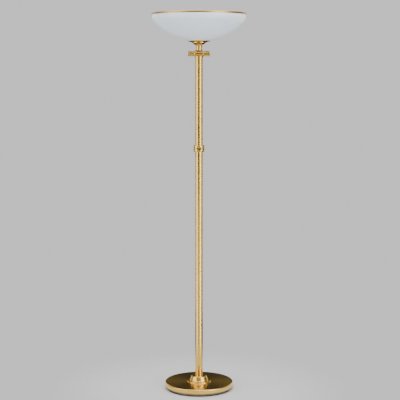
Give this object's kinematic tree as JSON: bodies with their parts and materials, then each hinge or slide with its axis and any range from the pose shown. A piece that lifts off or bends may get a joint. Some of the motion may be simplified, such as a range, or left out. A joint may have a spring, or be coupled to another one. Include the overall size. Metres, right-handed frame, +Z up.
{
  "type": "torchiere floor lamp",
  "caption": "Tall floor lamp with a weighted round base, slim stem with a dimmer, tilting knuckle and a wide upward glass bowl edged with a metal rim.",
  "frame": {"origin": "on the floor, on the lamp's axis, at the underside of the rubber floor ring", "axes": "+Z up along the stem, -Y to the front where the dimmer knob faces, +X along the cross-bar away from its clamping knob"},
  "size_m": [0.4399, 0.44, 1.785],
  "materials": {
    "satin_brass": "satin, finely brushed and lacquered",
    "raw_brass": "turned",
    "zinc_steel": "zinc plated",
    "dark_steel": "blackened",
    "cast_iron": "rough, painted",
    "black_rubber": "matt",
    "white_ceramic": "glazed ceramic",
    "pale_silicone": "soft, matt",
    "grey_moulding": "moulded",
    "green_board": "lacquered circuit board",
    "lead_sleeve": "heat-proof sleeve",
    "opal_glass": "satin opal, translucent white",
    "clear_glass": "clear, polished",
    "bright_aluminium": "bright rolled"
  },
  "bodies": {
    "stand": {"floor_ring": "black_rubber", "bottom_plate": "zinc_steel", "bottom_screws": "zinc_steel", "base_weight": "cast_iron", "base_shell": "satin_brass", "inlet_grommet": "black_rubber", "terminal_block": "white_ceramic", "terminal_screws": "raw_brass", "base_washer": "zinc_steel", "base_nut": "raw_brass", "base_nipple": "raw_brass", "base_flange": "satin_brass", "base_collar": "satin_brass", "foot_plug": "raw_brass", "lower_tube": "satin_brass", "upper_tube": "satin_brass", "coupling_sleeve": "dark_steel", "dimmer_ring_lower": "satin_brass", "dimmer_ring_upper": "satin_brass", "dimmer_switch": "grey_moulding", "dimmer_panel_nut": "zinc_steel", "dimmer_board": "green_board", "tube_grub_screws": "dark_steel", "stem_lead_lower": "lead_sleeve", "stem_lead_upper": "lead_sleeve", "joint_fork": "satin_brass", "friction_washers": "dark_steel", "pivot_bolt": "zinc_steel", "bar_cap": "satin_brass", "bar_sleeve": "satin_brass", "disc_spring": "zinc_steel"},
    "clamp": {"clamp_knob": "satin_brass"},
    "dimmer_carriage": {"switch_plunger": "grey_moulding"},
    "dimmer": {"dimmer_shaft": "zinc_steel", "dimmer_knob": "satin_brass", "knob_grub_screw": "dark_steel"},
    "head": {"joint_tongue": "satin_brass", "neck_tube": "satin_brass", "head_nipple": "raw_brass", "bell": "satin_brass", "glass_dish": "satin_brass", "lower_gasket": "pale_silicone", "glass_bush": "pale_silicone", "upper_gasket": "pale_silicone", "clamp_plate": "zinc_steel", "head_nuts": "raw_brass", "bracket_spacer": "raw_brass", "glass_bowl": "opal_glass", "rim_ring": "satin_brass", "lamp_bracket": "zinc_steel", "lampholders": "white_ceramic", "holder_screws": "zinc_steel", "reflector": "bright_aluminium", "reflector_posts": "zinc_steel", "safety_glass": "clear_glass", "lamp_tube": "clear_glass", "lamp_ends": "white_ceramic", "head_lead": "lead_sleeve"},
    "contact_pin_left": {"contact_left": "raw_brass"},
    "contact_pin_right": {"contact_right": "raw_brass"}
  },
  "joints": [
    {"name": "head_tilt", "type": "hinge", "parent": "stand", "child": "head", "pos_m": [0, 0, 1.59825], "axis": [1, 0, 0], "range_deg": [-30, 30]},
    {"name": "clamp_turn", "type": "hinge", "parent": "stand", "child": "clamp", "pos_m": [-0.042, 0, 1.59825], "axis": [-1, 0, 0], "range_deg": [0, 180]},
    {"name": "dimmer_push", "type": "slide", "parent": "stand", "child": "dimmer_carriage", "axis": [0, 1, 0], "range_m": [0, 0.0012], "stiffness_N_per_m": 1500, "springref_m": -0.001},
    {"name": "dimmer_turn", "type": "hinge", "parent": "dimmer_carriage", "child": "dimmer", "pos_m": [0, -0.03, 1.155], "axis": [0, -1, 0], "range_deg": [-135, 135]},
    {"name": "contact_left_slide", "type": "slide", "parent": "head", "child": "contact_pin_left", "axis": [-1, 0, 0], "range_m": [0, 0.0025], "stiffness_N_per_m": 800, "springref_m": -0.006},
    {"name": "contact_right_slide", "type": "slide", "parent": "head", "child": "contact_pin_right", "axis": [1, 0, 0], "range_m": [0, 0.0025], "stiffness_N_per_m": 800, "springref_m": -0.006}
  ]
}
